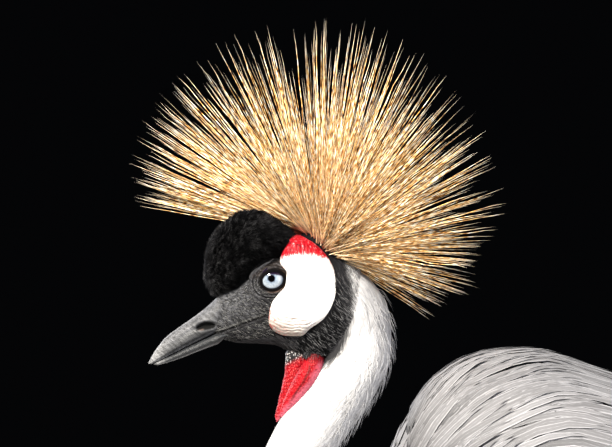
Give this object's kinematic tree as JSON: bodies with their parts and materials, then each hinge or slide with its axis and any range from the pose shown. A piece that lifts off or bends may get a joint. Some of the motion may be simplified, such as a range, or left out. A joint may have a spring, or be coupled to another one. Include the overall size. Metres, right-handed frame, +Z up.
{
  "type": "grey crowned crane",
  "caption": "Life-size still crane standing on both feet, neck drawn back, with a fan crest of gold bristles, bare white cheeks and a red throat wattle.",
  "frame": {"origin": "on the floor, under the middle of the bird's length and width", "axes": "+Z up, the bird faces -X, +Y towards its right side"},
  "size_m": [0.7342, 0.255, 0.7595],
  "materials": {
    "face_grey": "short dark grey face down over wrinkled skin",
    "bill_slate": "slate grey horn, paler at the tip",
    "velvet_black": "black plush of short feathers",
    "crest_gold": "stiff straw-gold bristle feathers",
    "wattle_red": "bare red skin with a fine grain",
    "cheek_white": "bare white skin, crimson above",
    "iris_pale": "pale blue wet eye with a black pupil",
    "plumage_pale": "pale grey hackles",
    "plumage_grey": "blue-grey lance-shaped feathers",
    "plumage_white": "white wing coverts",
    "plumage_straw": "loose straw-gold wing plumes",
    "plumage_maroon": "dark maroon secondaries",
    "plumage_black": "black flight and tail feathers",
    "leg_black": "black scaled leg skin",
    "claw_horn": "dark horn"
  },
  "bodies": {
    "root": {"head": "face_grey", "bill_upper": "bill_slate", "bill_lower": "bill_slate", "forehead_velvet": "velvet_black", "crest": "crest_gold", "wattle": "wattle_red", "neck_upper": "plumage_pale", "neck_lower": "plumage_pale", "neck_base": "plumage_pale", "torso": "plumage_grey", "tail": "plumage_black", "eye_left": "iris_pale", "cheek_left": "cheek_white", "wing_left_coverts": "plumage_white", "wing_left_plumes": "plumage_straw", "wing_left_secondaries": "plumage_maroon", "wing_left_primaries": "plumage_black", "thigh_left": "plumage_grey", "shank_left": "leg_black", "tarsus_left": "leg_black", "foot_left": "leg_black", "claw_left_middle": "claw_horn", "claw_left_outer": "claw_horn", "claw_left_inner": "claw_horn", "claw_left_hind": "claw_horn", "eye_right": "iris_pale", "cheek_right": "cheek_white", "wing_right_coverts": "plumage_white", "wing_right_plumes": "plumage_straw", "wing_right_secondaries": "plumage_maroon", "wing_right_primaries": "plumage_black", "thigh_right": "plumage_grey", "shank_right": "leg_black", "tarsus_right": "leg_black", "foot_right": "leg_black", "claw_right_middle": "claw_horn", "claw_right_outer": "claw_horn", "claw_right_inner": "claw_horn", "claw_right_hind": "claw_horn"}
  },
  "joints": []
}
